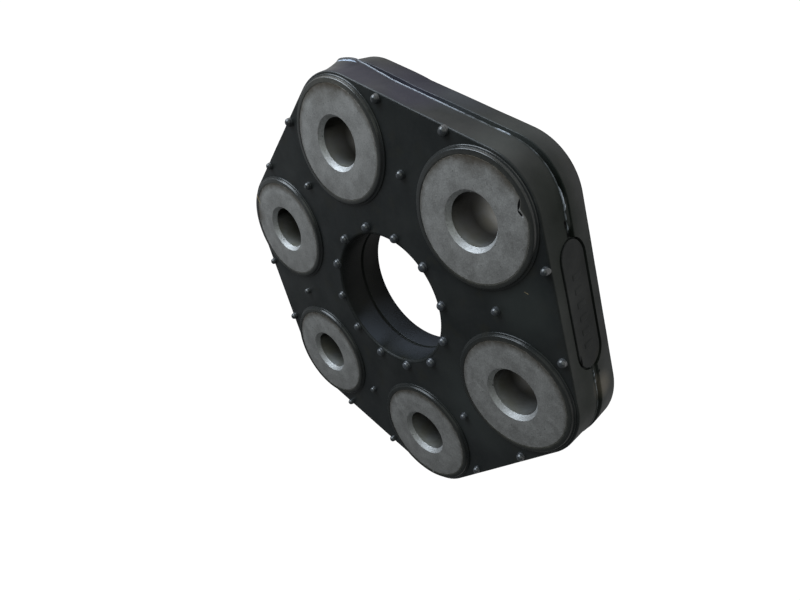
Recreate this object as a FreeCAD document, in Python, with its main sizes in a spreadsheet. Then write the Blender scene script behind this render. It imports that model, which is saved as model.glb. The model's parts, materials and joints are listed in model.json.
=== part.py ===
import FreeCAD
import Part
import Sketcher
import math
import os

# Flexible rubber coupling for a propeller shaft
# A moulded hexagonal rubber body holds six steel bushes on one bolt circle. Inside the
# rubber, an endless cord pack runs round each pair of neighbouring bushes and carries the pull.
# The part lies flat: z = 0 is the rear face of the steel bushes, +Z is the coupling axis, and
# the raised marking panel on the rim looks along -Y.

BUSH_COUNT = 6
SECTOR = 360 / BUSH_COUNT

# How far a cutting profile runs past the surface that it opens
OVERSHOOT = 1.0

# Alias, value in millimetres or degrees, and what it measures
SIZES = [
    ("bolt_circle", 100.0, "diameter of the circle through the six bush axes"),
    ("overall_thickness", 21.0, "steel face to steel face"),
    ("bush_bore", 14.5, "bolt hole through a bush"),
    ("mouth_width", 16.6, "widest diameter of the countersunk mouth of a bolt hole"),
    ("mouth_depth", 1.5, "depth of that mouth"),
    ("disc_width", 33.6, "diameter of the steel disc at each end of a bush"),
    ("disc_thickness", 3.0, "thickness of that disc"),
    ("sleeve_wall", 3.0, "wall of the steel sleeve between the two discs"),
    ("sleeve_seat", 0.8, "depth of the seat in a disc that the sleeve stands in"),
    ("rubber_setback", 1.8, "how far the rubber face lies below the steel face"),
    ("front_margin", 19.25, "bush axis to the rim of the rubber at the front face"),
    ("front_draft", 2.6, "mould draft of the front half of the rim"),
    ("rear_margin", 20.0, "bush axis to the rim of the rubber at the rear face"),
    ("rear_draft", 1.5, "mould draft of the rear half of the rim"),
    ("rim_round", 0.5, "rounding of the rubber's outer edges"),
    ("waist_margin", 18.7, "bush axis to the floor of the groove round the rim"),
    ("groove_ahead", 0.9, "groove width in front of the parting plane"),
    ("groove_behind", 1.5, "groove width behind the parting plane"),
    ("fin_margin", 19.9, "bush axis to the edge of the flash fin in that groove"),
    ("fin_thickness", 0.4, "thickness of the flash fin"),
    ("collar_width", 38.0, "diameter of the rubber collar round a steel disc"),
    ("collar_top_width", 36.8, "diameter of the collar's upper tier"),
    ("collar_step", 0.9, "height of the collar's lower tier"),
    ("bore_front", 44.0, "centre hole at the front rubber face"),
    ("bore_rear", 45.2, "centre hole at the rear rubber face"),
    ("bore_waist", 43.4, "centre hole beside the parting plane"),
    ("bore_groove_width", 0.8, "width of the parting groove in the centre hole"),
    ("bore_groove_depth", 0.5, "depth of that groove"),
    ("pip_width", 2.3, "diameter of a vent pip at its root on the front face"),
    ("pip_height", 1.8, "height of a vent pip"),
    ("pip_tip", 1.6, "diameter of a vent pip's flat tip"),
    ("bore_pip_inset", 1.95, "vent pip axis to the edge of the centre hole"),
    ("bore_pip_count", 12.0, "vent pips round the centre hole"),
    ("rim_pip_inset", 0.7, "vent pip axis to the rim of the front face"),
    ("rim_pip_spread", 24.0, "distance between the two rim pips of one side"),
    ("middle_pip_circle", 89.0, "circle of the single pips between the bushes"),
    ("panel_length", 36.0, "length of the oblong marking panel"),
    ("panel_height", 10.5, "height of the marking panel"),
    ("panel_margin", 20.45, "bolt axis plane of that side to the panel's face"),
    ("panel_floor", 19.0, "bolt axis plane of that side to the floor of its surround"),
    ("surround_width", 0.8, "width of the groove round the marking panel"),
    ("cord_height", 5.5, "height of a cord pack"),
    ("cord_thickness", 4.0, "thickness of a cord pack's wall"),
    ("cord_spacing", 1.5, "rubber between the two layers of cord packs"),
    ("cord_cover", 0.4, "rubber film between a sleeve and the cord packs round it"),
]

# Places and radii worked out from those sizes, as expressions of the sheet
PITCH = "Sizes.bolt_circle / 2"
TOP = "Sizes.overall_thickness"
PARTING = "Sizes.overall_thickness / 2"
FRONT_FACE = "(Sizes.overall_thickness - Sizes.rubber_setback)"
REAR_FACE = "Sizes.rubber_setback"
GROOVE_TOP = "(Sizes.overall_thickness / 2 + Sizes.groove_ahead)"
GROOVE_BOTTOM = "(Sizes.overall_thickness / 2 - Sizes.groove_behind)"
SIDE = "Sizes.bolt_circle / 2 * cos(30)"
SLEEVE_RADIUS = "(Sizes.bush_bore / 2 + Sizes.sleeve_wall)"
CORD_INNER = "(Sizes.bush_bore / 2 + Sizes.sleeve_wall + Sizes.cord_cover)"
CORD_OUTER = "(Sizes.bush_bore / 2 + Sizes.sleeve_wall + Sizes.cord_cover + Sizes.cord_thickness)"
FRONT_CORD_BASE = "(Sizes.overall_thickness / 2 + Sizes.cord_spacing / 2)"
REAR_CORD_BASE = "(Sizes.overall_thickness / 2 - Sizes.cord_spacing / 2 - Sizes.cord_height)"

doc = FreeCAD.newDocument("RubberCoupling")
sheet = doc.addObject("Spreadsheet::Sheet", "Sizes")
for row, (alias, value, meaning) in enumerate(SIZES, start=1):
    sheet.set("A%d" % row, meaning)
    sheet.set("B%d" % row, str(value))
    sheet.setAlias("B%d" % row, alias)
doc.recompute()


def number(expression):
    """The value of an expression of the sheet."""
    return float(sheet.evalExpression(expression))


def new_body(label):
    """An empty body whose label is the name of the piece."""
    body = doc.addObject("PartDesign::Body", label)
    body.Label = label
    return body


def origin_feature(body, role):
    """One of the body's own planes or axes."""
    return [item for item in body.Origin.OriginFeatures if item.Role == role][0]


def new_sketch(body, name, role, offset=None):
    """A sketch on an origin plane of the body, moved along the plane's normal."""
    sketch = body.newObject("Sketcher::SketchObject", name)
    sketch.AttachmentSupport = [(origin_feature(body, role), "")]
    sketch.MapMode = "FlatFace"
    if offset is not None:
        sketch.AttachmentOffset.Base.z = number(offset)
        sketch.setExpression("AttachmentOffset.Base.z", offset)
    return sketch


def fix(sketch, kind, *arguments, expression):
    """A dimension of the sketch, driven by an expression."""
    index = sketch.addConstraint(Sketcher.Constraint(kind, *arguments, number(expression)))
    sketch.setExpression("Constraints[%d]" % index, expression)


def fix_point(sketch, geometry, vertex, x_expression, y_expression):
    """Holds a point of the sketch at a driven place; None means on the sketch's own axis."""
    if x_expression is None:
        sketch.addConstraint(Sketcher.Constraint("PointOnObject", geometry, vertex, -2))
    else:
        fix(sketch, "DistanceX", -1, 1, geometry, vertex, expression=x_expression)
    if y_expression is None:
        sketch.addConstraint(Sketcher.Constraint("PointOnObject", geometry, vertex, -1))
    else:
        fix(sketch, "DistanceY", -1, 1, geometry, vertex, expression=y_expression)


def place_of(x_expression, y_expression):
    """The point at two expressions, where None stands for zero."""
    x = 0.0 if x_expression is None else number(x_expression)
    y = 0.0 if y_expression is None else number(y_expression)
    return FreeCAD.Vector(x, y, 0)


def draw_circle(sketch, radius, x_expression=None):
    """A circle centred on the sketch's horizontal axis."""
    centre = place_of(x_expression, None)
    circle = sketch.addGeometry(Part.Circle(centre, FreeCAD.Vector(0, 0, 1), number(radius)))
    fix_point(sketch, circle, 3, x_expression, None)
    fix(sketch, "Radius", circle, expression=radius)


def draw_polygon(sketch, corners):
    """A closed outline of straight lines through driven corners."""
    points = [place_of(*corner) for corner in corners]
    count = len(points)
    lines = [
        sketch.addGeometry(Part.LineSegment(points[i], points[(i + 1) % count]))
        for i in range(count)
    ]
    for i in range(count):
        sketch.addConstraint(Sketcher.Constraint("Coincident", lines[i], 2, lines[(i + 1) % count], 1))
        fix_point(sketch, lines[i], 1, *corners[i])


def draw_axis(sketch, x_expression, low, high):
    """A construction line to turn a profile about, parallel to the sketch's vertical axis."""
    foot = place_of(x_expression, low)
    head = place_of(x_expression, high)
    line = sketch.addGeometry(Part.LineSegment(foot, head), True)
    fix_point(sketch, line, 1, x_expression, low)
    fix_point(sketch, line, 2, x_expression, high)


def arc(centre, radius, start, end):
    """An arc of a circle between two angles in degrees, counterclockwise."""
    circle = Part.Circle(centre, FreeCAD.Vector(0, 0, 1), radius)
    return Part.ArcOfCircle(circle, math.radians(start), math.radians(end))


def join_smoothly(sketch, arcs, lines):
    """Joins arc, line, arc, line and so on into one smooth closed outline."""
    for i, line in enumerate(lines):
        sketch.addConstraint(Sketcher.Constraint("Tangent", arcs[i], 2, line, 1))
        sketch.addConstraint(Sketcher.Constraint("Tangent", line, 2, arcs[(i + 1) % len(arcs)], 1))
    for other in arcs[1:]:
        sketch.addConstraint(Sketcher.Constraint("Equal", arcs[0], other))


def draw_rounded_hexagon(sketch, margin):
    """Six arcs about the bush axes, joined by six straight sides."""
    radius = number(margin)
    pitch = number(PITCH)
    arcs = []
    lines = []
    for k in range(BUSH_COUNT):
        turn = math.radians(k * SECTOR)
        centre = FreeCAD.Vector(pitch * math.cos(turn), pitch * math.sin(turn), 0)
        arcs.append(sketch.addGeometry(arc(centre, radius, (k - 0.5) * SECTOR, (k + 0.5) * SECTOR)))
    for k in range(BUSH_COUNT):
        start = sketch.getPoint(arcs[k], 2)
        end = sketch.getPoint(arcs[(k + 1) % BUSH_COUNT], 1)
        lines.append(sketch.addGeometry(Part.LineSegment(start, end)))
    join_smoothly(sketch, arcs, lines)
    for k in range(BUSH_COUNT):
        on_axis = k * SECTOR % 180 == 0
        x_expression = "%s * cos(%g)" % (PITCH, k * SECTOR)
        y_expression = None if on_axis else "%s * sin(%g)" % (PITCH, k * SECTOR)
        fix_point(sketch, arcs[k], 3, x_expression, y_expression)
    fix(sketch, "Radius", arcs[0], expression=margin)


def draw_stadium(sketch, half_span, radius, level=None):
    """Two half circles joined by two straight lines, centred on the sketch's vertical axis."""
    span = number(half_span)
    reach = number(radius)
    height = 0.0 if level is None else number(level)
    left = FreeCAD.Vector(-span, height, 0)
    right = FreeCAD.Vector(span, height, 0)
    arcs = [
        sketch.addGeometry(arc(right, reach, -90, 90)),
        sketch.addGeometry(arc(left, reach, 90, 270)),
    ]
    lines = [
        sketch.addGeometry(Part.LineSegment(sketch.getPoint(arcs[0], 2), sketch.getPoint(arcs[1], 1))),
        sketch.addGeometry(Part.LineSegment(sketch.getPoint(arcs[1], 2), sketch.getPoint(arcs[0], 1))),
    ]
    join_smoothly(sketch, arcs, lines)
    fix_point(sketch, arcs[0], 3, half_span, level)
    fix_point(sketch, arcs[1], 3, "-(%s)" % half_span, level)
    fix(sketch, "Radius", arcs[0], expression=radius)


def extrude(body, kind, name, sketch, length, backwards=False, draft=None):
    """A pad or pocket of a driven length; a positive draft widens it as it goes."""
    feature = body.newObject("PartDesign::%s" % kind, name)
    feature.Profile = sketch
    feature.Length = number(length)
    feature.setExpression("Length", length)
    feature.Reversed = backwards
    if draft is not None:
        feature.TaperAngle = number(draft)
        feature.setExpression("TaperAngle", draft)
    doc.recompute()
    return feature


def turn(body, kind, name, sketch, axis_name):
    """A full turn of a profile, added or cut away, about one of the sketch's axes."""
    feature = body.newObject("PartDesign::%s" % kind, name)
    feature.Profile = sketch
    feature.ReferenceAxis = (sketch, [axis_name])
    feature.Angle = 360
    doc.recompute()
    return feature


def repeat_round(body, name, originals, count):
    """Copies features evenly round the coupling axis."""
    pattern = body.newObject("PartDesign::PolarPattern", name)
    pattern.Originals = originals
    pattern.Axis = (origin_feature(body, "Z_Axis"), [""])
    pattern.Angle = 360
    pattern.Occurrences = count
    body.Tip = pattern
    doc.recompute()
    return pattern


def round_edges(body, name, base, chosen, radius):
    """Rounds the edges of the last feature that the test chosen() accepts."""
    names = ["Edge%d" % i for i, edge in enumerate(base.Shape.Edges, start=1) if chosen(edge)]
    feature = body.newObject("PartDesign::Fillet", name)
    feature.Base = (base, names)
    feature.Radius = number(radius)
    feature.setExpression("Radius", radius)
    doc.recompute()
    return feature


def lies_at(edge, level):
    """True for an edge that lies flat at one height."""
    box = edge.BoundBox
    tolerance = 1e-5
    return abs(box.ZMin - level) < tolerance and abs(box.ZMax - level) < tolerance


# Rubber body: the moulded block


def add_block(body):
    """The two drafted mould halves, the groove between them and the flash fin in it."""
    rear = new_sketch(body, "rear_outline", "XY_Plane", REAR_FACE)
    draw_rounded_hexagon(rear, "Sizes.rear_margin")
    rear_height = "%s - %s" % (GROOVE_BOTTOM, REAR_FACE)
    extrude(body, "Pad", "rear_half", rear, rear_height, draft="Sizes.rear_draft")

    waist = new_sketch(body, "waist_outline", "XY_Plane", GROOVE_BOTTOM)
    draw_rounded_hexagon(waist, "Sizes.waist_margin")
    extrude(body, "Pad", "waist", waist, "%s - %s" % (GROOVE_TOP, GROOVE_BOTTOM))

    front = new_sketch(body, "front_outline", "XY_Plane", FRONT_FACE)
    draw_rounded_hexagon(front, "Sizes.front_margin")
    front_height = "%s - %s" % (FRONT_FACE, GROOVE_TOP)
    block = extrude(body, "Pad", "front_half", front, front_height, True, "Sizes.front_draft")

    levels = [number(FRONT_FACE), number(REAR_FACE)]
    block = round_edges(
        body,
        "rim_rounding",
        block,
        lambda edge: any(lies_at(edge, level) for level in levels),
        "Sizes.rim_round",
    )

    fin = new_sketch(body, "fin_outline", "XY_Plane", "%s - Sizes.fin_thickness / 2" % PARTING)
    draw_rounded_hexagon(fin, "Sizes.fin_margin")
    extrude(body, "Pad", "flash_fin", fin, "Sizes.fin_thickness")


def add_panel(body):
    """The oblong marking panel on the side that looks along -Y, with a groove round it."""
    half_span = "(Sizes.panel_length - Sizes.panel_height) / 2"
    floor = "%s + Sizes.panel_floor" % SIDE
    surround = new_sketch(body, "surround_outline", "XZ_Plane", floor)
    draw_stadium(surround, half_span, "Sizes.panel_height / 2 + Sizes.surround_width", PARTING)
    extrude(body, "Pocket", "surround", surround, "Sizes.panel_margin - Sizes.panel_floor", True)

    panel = new_sketch(body, "panel_outline", "XZ_Plane", "%s + Sizes.waist_margin" % SIDE)
    draw_stadium(panel, half_span, "Sizes.panel_height / 2", PARTING)
    extrude(body, "Pad", "marking_panel", panel, "Sizes.panel_margin - Sizes.waist_margin")


def add_collars(body):
    """A stepped collar round each bush, on both faces."""
    centre = PITCH
    base = "%s + Sizes.collar_width / 2" % PITCH
    top = "%s + Sizes.collar_top_width / 2" % PITCH
    front_root = "%s - Sizes.rim_round" % FRONT_FACE
    rear_root = "%s + Sizes.rim_round" % REAR_FACE
    front_step = "%s + Sizes.collar_step" % FRONT_FACE
    rear_step = "%s - Sizes.collar_step" % REAR_FACE
    tiers = [
        ("front", front_root, front_step, TOP),
        ("rear", rear_root, rear_step, None),
    ]
    collars = []
    for face, root, step, end in tiers:
        profile = new_sketch(body, "%s_collar_profile" % face, "XZ_Plane")
        draw_polygon(
            profile,
            [(centre, root), (base, root), (base, step), (top, step), (top, end), (centre, end)],
        )
        draw_axis(profile, centre, REAR_FACE, FRONT_FACE)
        collars.append(turn(body, "Revolution", "%s_collar" % face, profile, "Axis0"))
    repeat_round(body, "collars", collars, BUSH_COUNT)


def add_pip(body, name, x_expression, distance):
    """A tapered vent pip on the front face, on the side that looks along -Y."""
    sketch = new_sketch(body, "%s_profile" % name, "XZ_Plane", distance)
    centre = "0" if x_expression is None else x_expression
    wall = "%s + Sizes.pip_width / 2" % centre
    tip = "%s + Sizes.pip_tip / 2" % centre
    root = "%s - Sizes.rim_round" % FRONT_FACE
    crown = "%s + Sizes.pip_height" % FRONT_FACE
    draw_polygon(sketch, [(x_expression, root), (wall, root), (tip, crown), (x_expression, crown)])
    draw_axis(sketch, x_expression, root, crown)
    return turn(body, "Revolution", name, sketch, "Axis0")


def add_pips(body):
    """Vent pips: a ring round the centre hole, two on each side's rim and one between bushes."""
    ring = "Sizes.bore_front / 2 + Sizes.bore_pip_inset"
    bore_pip = add_pip(body, "bore_pip", None, ring)
    repeat_round(body, "bore_pips", [bore_pip], int(number("Sizes.bore_pip_count")))

    rim = "%s + Sizes.front_margin - Sizes.rim_pip_inset" % SIDE
    left_pip = add_pip(body, "left_rim_pip", "-Sizes.rim_pip_spread / 2", rim)
    right_pip = add_pip(body, "right_rim_pip", "Sizes.rim_pip_spread / 2", rim)
    repeat_round(body, "rim_pips", [left_pip, right_pip], BUSH_COUNT)

    middle_pip = add_pip(body, "middle_pip", None, "Sizes.middle_pip_circle / 2")
    repeat_round(body, "middle_pips", [middle_pip], BUSH_COUNT)


def cut_centre_hole(body):
    """The centre hole: narrowest at the parting plane, with a fine groove there."""
    profile = new_sketch(body, "centre_hole_profile", "XZ_Plane")
    groove_high = "%s + Sizes.bore_groove_width / 2" % PARTING
    groove_low = "%s - Sizes.bore_groove_width / 2" % PARTING
    waist = "Sizes.bore_waist / 2"
    deep = "Sizes.bore_waist / 2 + Sizes.bore_groove_depth"
    above = "%s + %g" % (TOP, OVERSHOOT)
    corners = [
        (None, "-%g" % OVERSHOOT),
        ("Sizes.bore_rear / 2", "-%g" % OVERSHOOT),
        ("Sizes.bore_rear / 2", REAR_FACE),
        (waist, groove_low),
        (deep, PARTING),
        (waist, groove_high),
        ("Sizes.bore_front / 2", FRONT_FACE),
        ("Sizes.bore_front / 2", above),
        (None, above),
    ]
    draw_polygon(profile, corners)
    turn(body, "Groove", "centre_hole", profile, "V_Axis")


def cut_bush_seats(body):
    """The room of the six bushes: a hole for the sleeve and a seat for each steel disc."""
    profile = new_sketch(body, "bush_seat_profile", "XZ_Plane")
    disc_edge = "%s + Sizes.disc_width / 2" % PITCH
    sleeve_edge = "%s + %s" % (PITCH, SLEEVE_RADIUS)
    rear_seat = "Sizes.disc_thickness"
    front_seat = "%s - Sizes.disc_thickness" % TOP
    below = "-%g" % OVERSHOOT
    above = "%s + %g" % (TOP, OVERSHOOT)
    corners = [
        (PITCH, below),
        (disc_edge, below),
        (disc_edge, rear_seat),
        (sleeve_edge, rear_seat),
        (sleeve_edge, front_seat),
        (disc_edge, front_seat),
        (disc_edge, above),
        (PITCH, above),
    ]
    draw_polygon(profile, corners)
    draw_axis(profile, PITCH, rear_seat, front_seat)
    seat = turn(body, "Groove", "bush_seat", profile, "Axis0")
    repeat_round(body, "bush_seats", [seat], BUSH_COUNT)


def draw_cord_ring(sketch, level=None):
    """The outer and inner outline of a cord pack that runs round two neighbouring bushes."""
    half_span = "Sizes.bolt_circle / 4"
    draw_stadium(sketch, half_span, CORD_OUTER, level)
    draw_stadium(sketch, half_span, CORD_INNER, level)


def cut_cord_rooms(body):
    """The closed rooms of the cord packs: three in the front layer and three in the rear one."""
    layers = [
        ("front", FRONT_CORD_BASE, "-(%s)" % SIDE),
        ("rear", REAR_CORD_BASE, SIDE),
    ]
    for layer, base, level in layers:
        sketch = new_sketch(body, "%s_cord_outline" % layer, "XY_Plane", base)
        draw_cord_ring(sketch, level)
        room = extrude(body, "Pocket", "%s_cord_room" % layer, sketch, "Sizes.cord_height", True)
        repeat_round(body, "%s_cord_rooms" % layer, [room], BUSH_COUNT // 2)


def make_rubber_body():
    body = new_body("rubber_body")
    add_block(body)
    add_panel(body)
    add_collars(body)
    add_pips(body)
    cut_centre_hole(body)
    cut_bush_seats(body)
    cut_cord_rooms(body)
    return body


# Steel bushes: a sleeve that stands in a disc at each end


def place(body, angle, radius, height, turned=0.0, upside_down=False):
    """Sets a piece on the coupling: its distance and direction from the axis, and its height."""
    about_x = FreeCAD.Rotation(FreeCAD.Vector(1, 0, 0), 180 if upside_down else 0)
    about_z = FreeCAD.Rotation(FreeCAD.Vector(0, 0, 1), turned)
    x_expression = "%s * cos(%g)" % (radius, angle)
    y_expression = "%s * sin(%g)" % (radius, angle)
    base = FreeCAD.Vector(number(x_expression), number(y_expression), number(height))
    body.Placement = FreeCAD.Placement(base, about_z.multiply(about_x))
    body.setExpression("Placement.Base.x", x_expression)
    body.setExpression("Placement.Base.y", y_expression)
    body.setExpression("Placement.Base.z", height)


def make_disc(label, angle, height, upside_down):
    """A flat steel disc: countersunk bolt hole outside, seat for the sleeve inside.

    The piece is drawn with its outer face up at its own height zero.
    """
    body = new_body(label)
    profile = new_sketch(body, "%s_profile" % label, "XZ_Plane")
    hole = "Sizes.bush_bore / 2"
    back = "-Sizes.disc_thickness"
    seat = "Sizes.sleeve_seat - Sizes.disc_thickness"
    corners = [
        (hole, "-Sizes.mouth_depth"),
        (hole, seat),
        (SLEEVE_RADIUS, seat),
        (SLEEVE_RADIUS, back),
        ("Sizes.disc_width / 2", back),
        ("Sizes.disc_width / 2", None),
        ("Sizes.mouth_width / 2", None),
    ]
    draw_polygon(profile, corners)
    turn(body, "Revolution", "%s_turned" % label, profile, "V_Axis")
    place(body, angle, PITCH, height, upside_down=upside_down)
    return body


def make_sleeve(label, angle):
    """The steel tube between the two discs, standing in their seats."""
    body = new_body(label)
    sketch = new_sketch(body, "%s_section" % label, "XY_Plane")
    draw_circle(sketch, SLEEVE_RADIUS)
    draw_circle(sketch, "Sizes.bush_bore / 2")
    length = "%s - 2 * (Sizes.disc_thickness - Sizes.sleeve_seat)" % TOP
    extrude(body, "Pad", "%s_tube" % label, sketch, length)
    place(body, angle, PITCH, "Sizes.disc_thickness - Sizes.sleeve_seat")
    return body


def make_cord_pack(label, angle, base):
    """The endless cord pack round the two bushes on either side of the given direction."""
    body = new_body(label)
    sketch = new_sketch(body, "%s_section" % label, "XY_Plane")
    draw_cord_ring(sketch)
    extrude(body, "Pad", "%s_winding" % label, sketch, "Sizes.cord_height")
    place(body, angle, SIDE, base, turned=angle + 90)
    return body


pieces = [make_rubber_body()]
for k in range(BUSH_COUNT):
    bush_angle = k * SECTOR
    bush = k + 1
    pieces.append(make_disc("front_disc_%d" % bush, bush_angle, TOP, False))
    pieces.append(make_disc("rear_disc_%d" % bush, bush_angle, "0", True))
    pieces.append(make_sleeve("sleeve_%d" % bush, bush_angle))
for k in range(BUSH_COUNT):
    cord_angle = (k + 0.5) * SECTOR
    layer_base = REAR_CORD_BASE if k % 2 else FRONT_CORD_BASE
    pieces.append(make_cord_pack("cord_pack_%d" % (k + 1), cord_angle, layer_base))

doc.recompute()

# Checks before anything is written
for item in doc.Objects:
    if "Invalid" in item.State or "Error" in item.State:
        raise RuntimeError("%s failed: %s" % (item.Label, item.State))
    if item.isDerivedFrom("PartDesign::Pocket") or item.isDerivedFrom("PartDesign::Groove"):
        if item.Shape.Volume >= item.BaseFeature.Shape.Volume:
            raise RuntimeError("%s cuts nothing" % item.Label)
for piece in pieces:
    if piece.Shape.isNull() or not piece.Shape.isValid():
        raise RuntimeError("%s has no valid shape" % piece.Label)
    if len(piece.Shape.Solids) != 1:
        raise RuntimeError("%s has %d solids" % (piece.Label, len(piece.Shape.Solids)))

os.makedirs("parts", exist_ok=True)
for piece in pieces:
    piece.Shape.exportStep("parts/%s.step" % piece.Label)
    print("%-14s %10.1f mm3" % (piece.Label, piece.Shape.Volume))
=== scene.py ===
# %% [markdown]
# # A rubber coupling for a propeller shaft
# The real part joins two shafts that don't quite line up. A hexagonal rubber block holds six
# steel bushes, and each shaft's flange is bolted to three of them. Inside the rubber, cords run
# round each pair of bushes and carry the pull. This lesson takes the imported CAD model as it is
# and makes everything that shows: moulded rubber, blasted steel and the wound cords.

# %% Load the frame
import json
import math
import random

import bmesh
import bpy
from mathutils import Matrix, Vector, noise


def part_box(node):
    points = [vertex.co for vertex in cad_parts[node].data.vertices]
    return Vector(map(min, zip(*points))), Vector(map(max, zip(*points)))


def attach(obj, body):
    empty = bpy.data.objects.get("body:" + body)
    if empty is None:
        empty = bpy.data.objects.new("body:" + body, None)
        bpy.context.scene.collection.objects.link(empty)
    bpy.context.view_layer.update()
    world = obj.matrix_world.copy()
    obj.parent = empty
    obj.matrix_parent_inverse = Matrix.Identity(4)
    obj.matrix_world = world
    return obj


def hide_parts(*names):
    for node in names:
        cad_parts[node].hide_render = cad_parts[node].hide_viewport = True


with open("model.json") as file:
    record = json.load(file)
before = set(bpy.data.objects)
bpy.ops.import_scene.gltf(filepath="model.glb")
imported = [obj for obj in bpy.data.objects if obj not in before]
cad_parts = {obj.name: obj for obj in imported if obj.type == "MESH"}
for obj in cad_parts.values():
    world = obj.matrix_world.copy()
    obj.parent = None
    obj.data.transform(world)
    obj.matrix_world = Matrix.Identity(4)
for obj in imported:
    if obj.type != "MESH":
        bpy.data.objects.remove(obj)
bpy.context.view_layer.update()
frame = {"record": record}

# %% [markdown]
# ## The sizes come from the CAD
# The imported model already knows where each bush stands, so the lesson reads those places from
# the steel discs' boxes. All shapes are drawn in millimetres, because that is how a maker
# thinks about a part of this size, and each piece is scaled to metres once, at the very end.

# %% Read the bush places
MM = 0.001
BUSHES = 6
UP = Vector((0, 0, 1))
MIDDLE = Vector((0, 0, 0))
disc_low, disc_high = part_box("front_disc_1")
sleeve_low, sleeve_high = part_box("sleeve_1")
PITCH = (disc_low.x + disc_high.x) / 2 / MM
DISC_RADIUS = (disc_high.x - disc_low.x) / 2 / MM
TOP = disc_high.z / MM
SLEEVE_RADIUS = (sleeve_high.y - sleeve_low.y) / 2 / MM
MOUNTS = {mount.get("name"): mount for mount in frame["record"]["mounts"]}
BORE_RADIUS = MOUNTS["bush_bore_1"]["dims"]["r_mm"]
APOTHEM = PITCH * math.cos(math.radians(30))


def compass(degrees):
    """The flat direction at an angle round the coupling axis."""
    return Vector((math.cos(math.radians(degrees)), math.sin(math.radians(degrees)), 0))


BUSH_AXES = [compass(60 * k) * PITCH for k in range(BUSHES)]
print("bush axes at", round(PITCH, 2), "mm, steel faces at", round(TOP, 2), "mm")

# %% [markdown]
# ## The camera
# The photograph was taken from close by, from in front and above, with the camera held almost
# on its side. Place, aim and roll were found by fitting the six bolt holes. A short lens gives
# the strong perspective: the near bushes look clearly bigger than the far ones.

# %% Set up the camera
EYE = Vector((58.983, -138.145, 124.205)) * MM
AIM = Vector((-4.868, 5.427, 10.5)) * MM
ROLL = math.radians(-121.064)
SENSOR_WIDTH = 36
FOCAL_LENGTH = 25.937

lens = bpy.data.cameras.new("photo_lens")
lens.sensor_width = SENSOR_WIDTH
lens.lens = FOCAL_LENGTH
lens.clip_start = 0.01
lens.clip_end = 50
camera = bpy.data.objects.new("photo_camera", lens)
bpy.context.scene.collection.objects.link(camera)
camera.matrix_world = (
    Matrix.Translation(EYE)
    @ (AIM - EYE).to_track_quat("-Z", "Y").to_matrix().to_4x4()
    @ Matrix.Rotation(ROLL, 4, "Z")
)
bpy.context.scene.camera = camera
print("camera", round((AIM - EYE).length / MM), "mm from the part")

# %% [markdown]
# ## Helpers for nodes
# A finish is a small network of nodes, and so is a glow that changes from place to place. The
# helpers below add one node each and are named after what they do.

# %% Node helpers


def put(tree, kind, inputs, **settings):
    """Adds a shader node; an input is a value, or the output of another node."""
    node = tree.nodes.new("ShaderNode" + kind)
    for name, value in settings.items():
        setattr(node, name, value)
    for name, value in inputs.items():
        if isinstance(value, bpy.types.NodeSocket):
            tree.links.new(value, node.inputs[name])
        else:
            node.inputs[name].default_value = value
    return node


def spread(tree, value, low, high, new_low=0.0, new_high=1.0):
    """Stretches the values from low to high over a new range and clips the rest."""
    inputs = {"Value": value, "From Min": low, "From Max": high, "To Min": new_low, "To Max": new_high}
    return put(tree, "MapRange", inputs, clamp=True).outputs["Result"]


def work_out(tree, operation, first, second):
    """Two numbers into one: ADD, SUBTRACT, POWER and so on."""
    return put(tree, "Math", {0: first, 1: second}, operation=operation).outputs[0]


def times(tree, first, second):
    """The product of two numbers."""
    return work_out(tree, "MULTIPLY", first, second)


def far_along(tree, where, direction):
    """How far a point lies in a direction."""
    inputs = {0: where, 1: direction}
    return put(tree, "VectorMath", inputs, operation="DOT_PRODUCT").outputs["Value"]


def reach_of(tree, where):
    """How far a point lies from the middle of its pattern."""
    return put(tree, "VectorMath", {0: where}, operation="LENGTH").outputs["Value"]


print("node helpers ready")

# %% [markdown]
# ## Floor and light
# The part lies on a plain white table that gives off a little light of its own, so it stays
# white right up to the part and lights the rubber walls from below. Under the rubber the table
# is dark, and in the bolt holes and the centre hole it glows weakly, more so on the camera's
# side. A cool panel stands low beside the part and rakes over it, as a window would. That picks
# out the mouths of the bolt holes and the walls of the collars. A second window gives the front
# face its sheen, and a soft greenish panel on the camera's side keeps the near walls from going
# black. Seen from below the table is clear, so that the rear side can be looked at too.

# %% Lay the floor
FLOOR_SIZE = 4
FLOOR_DROP = 0.02

floor_shape = bmesh.new()
bmesh.ops.create_grid(floor_shape, x_segments=8, y_segments=8, size=FLOOR_SIZE)
bmesh.ops.translate(floor_shape, vec=(0, 0, -FLOOR_DROP * MM), verts=floor_shape.verts)
floor_mesh = bpy.data.meshes.new("floor")
floor_shape.to_mesh(floor_mesh)
floor_shape.free()
floor = bpy.data.objects.new("floor", floor_mesh)
bpy.context.scene.collection.objects.link(floor)
print("floor laid", FLOOR_DROP, "mm below the part")

# %% Make the table glow
FLOOR_GLOW = 0.56
HOLE_GLOW = 0.17
BORE_GLOW = 0.23
EDGE_GLOW = 0.07
FLOOR_SHOWN = 1.05
GLOW_BY_REACH = [
    (18.0, HOLE_GLOW),
    (26.0, 0.0),
    (41.5, 0.0),
    (42.5, BORE_GLOW),
    (57.5, BORE_GLOW),
    (58.5, EDGE_GLOW),
    (85.0, FLOOR_GLOW),
]
CAMERA_SIDE = (0.8, -0.6, 0)

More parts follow.
